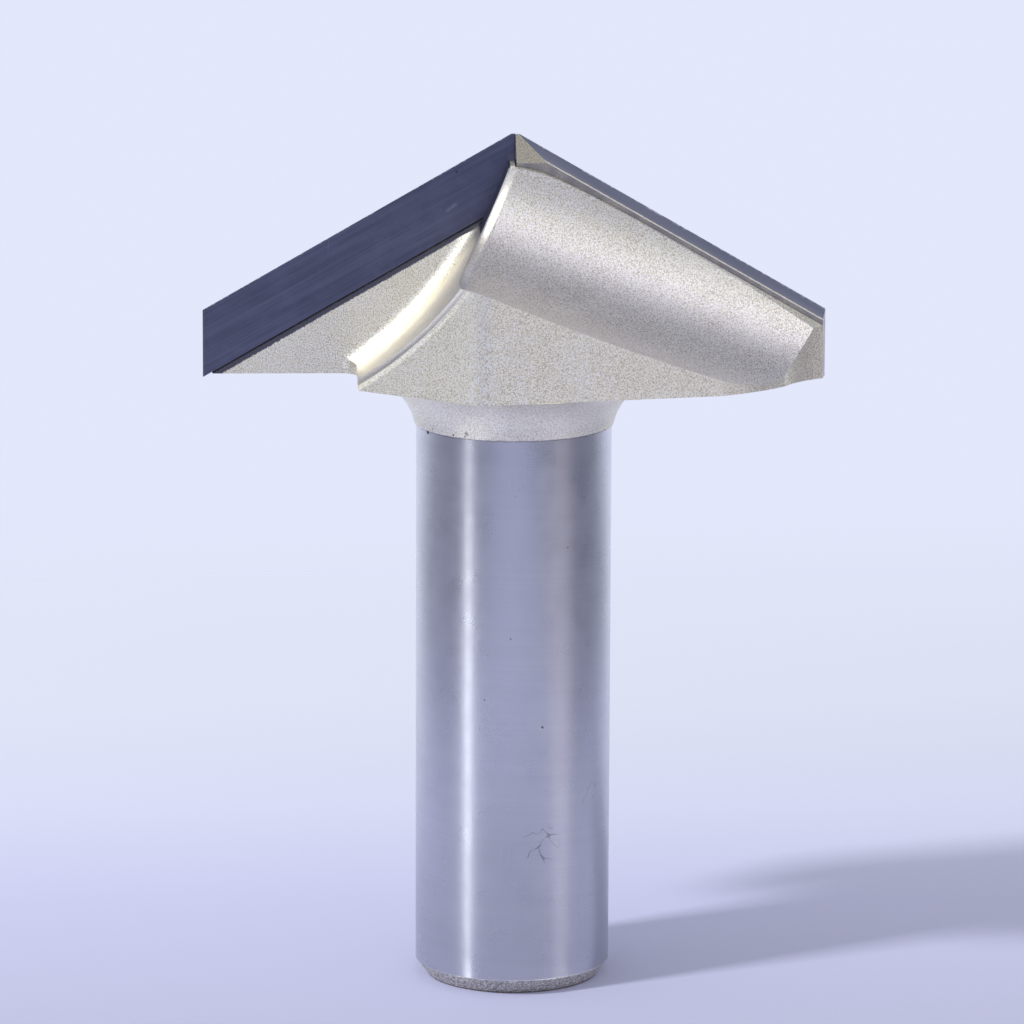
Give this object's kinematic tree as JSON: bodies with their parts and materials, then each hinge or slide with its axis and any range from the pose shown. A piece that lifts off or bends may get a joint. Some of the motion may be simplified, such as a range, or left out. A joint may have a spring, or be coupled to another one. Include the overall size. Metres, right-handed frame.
{
  "type": "v-groove router bit",
  "caption": "Straight-shank router bit with a wide, shallow pointed cutting head, carbide blades brazed to a milled steel body.",
  "frame": {"origin": "centre of the shank's flat end face", "axes": "+Z along the spin axis from the shank's end to the cutting tip, +X along the right-hand cutting edge, -Y towards the viewer of the picture"},
  "size_m": [0.0404, 0.0218, 0.0558],
  "materials": {
    "coated_steel": "satin grained coat on the head and neck, ground shank",
    "carbide": "finely ground dark carbide",
    "braze": "dull braze"
  },
  "bodies": {
    "root": {"body": "coated_steel", "blade_1": "carbide", "blade_2": "carbide", "braze_1": "braze", "braze_2": "braze"}
  },
  "joints": []
}
